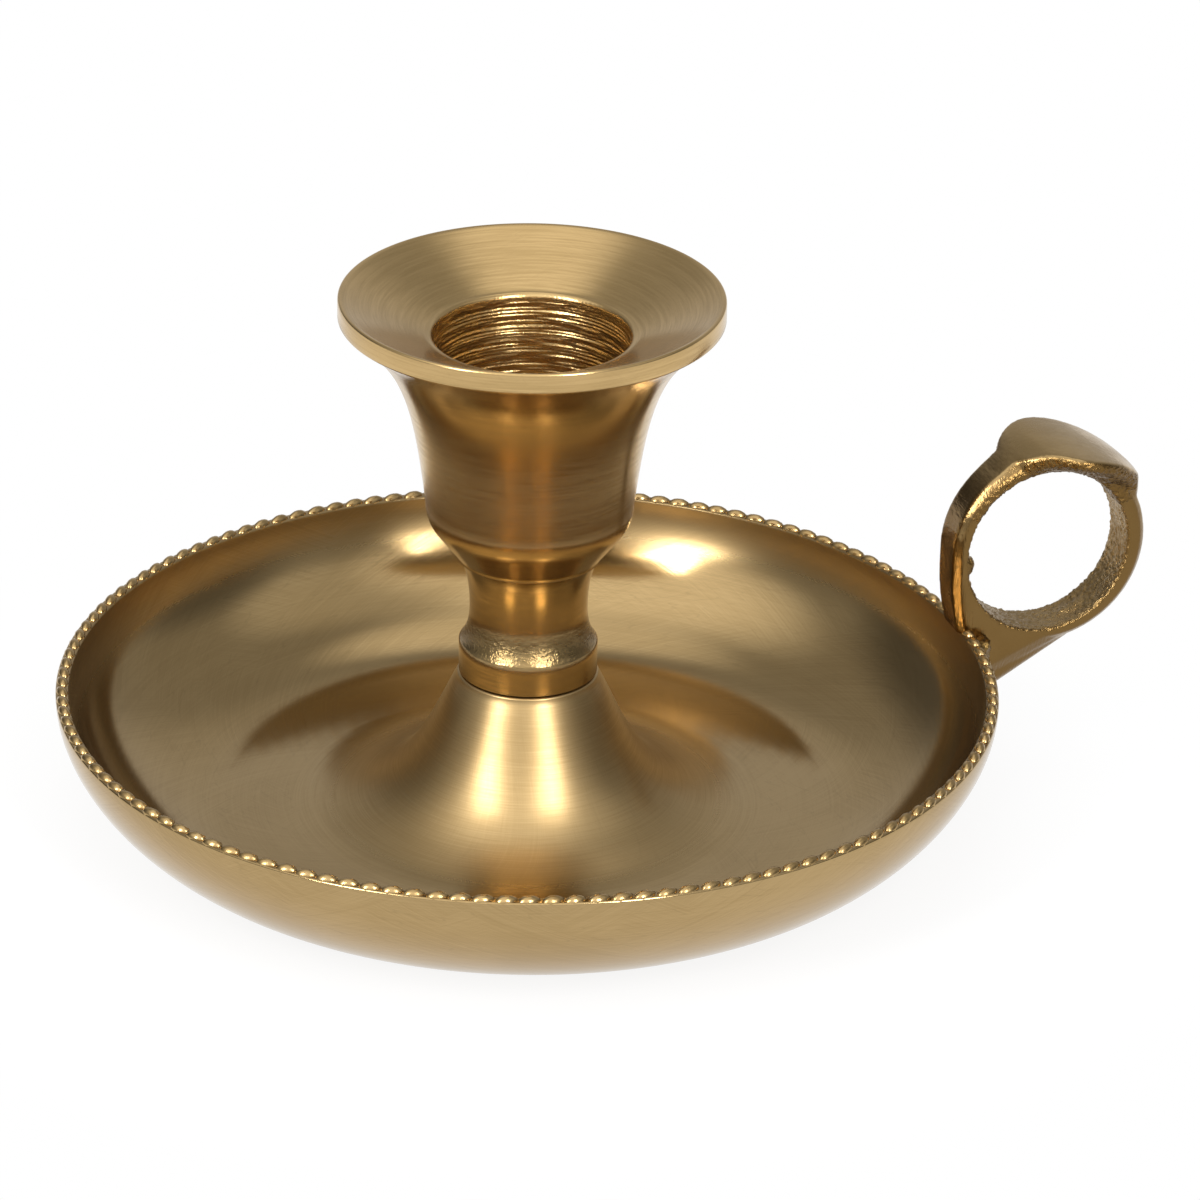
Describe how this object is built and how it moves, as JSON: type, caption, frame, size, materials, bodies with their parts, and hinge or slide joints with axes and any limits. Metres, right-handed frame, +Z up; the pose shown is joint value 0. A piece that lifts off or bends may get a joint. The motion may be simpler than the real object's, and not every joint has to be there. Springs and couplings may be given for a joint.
{
  "type": "chamberstick",
  "caption": "Brass chamberstick: saucer pan with a beaded rim, candle cup with a dished flange clamped on its cone, and a ring handle with a thumb rest.",
  "frame": {"origin": "on the candle's axis, in the plane the pan's foot ring stands on", "axes": "+Z up along the candle's axis, +X towards the ring handle"},
  "size_m": [0.1376, 0.115, 0.0687],
  "materials": {
    "satin_brass": "turned and brushed to a satin sheen, slightly aged",
    "cast_brass": "cast, with the outer faces polished",
    "braze_filler": "grainy, as brazed",
    "zinc_steel": "zinc plated"
  },
  "bodies": {
    "pan": {"saucer_pan": "satin_brass", "ring_handle": "cast_brass", "handle_braze": "braze_filler"},
    "cup": {"candle_cup": "satin_brass", "cup_stud": "zinc_steel"},
    "nut": {"hex_nut": "zinc_steel", "spring_washer": "zinc_steel", "flat_washer": "zinc_steel"}
  },
  "joints": [
    {"name": "cup_turn", "type": "hinge", "parent": "pan", "child": "cup", "pos_m": [0, 0, 0.0199], "axis": [0, 0, 1], "range_deg": [0, 2520]},
    {"name": "nut_travel", "type": "slide", "parent": "pan", "child": "nut", "axis": [0, 0, -1], "range_m": [0, 0.0072]}
  ],
  "couplings": [
    {"joint": "nut_travel", "follows": "cup_turn", "m_per_rad": 0.00015915}
  ]
}
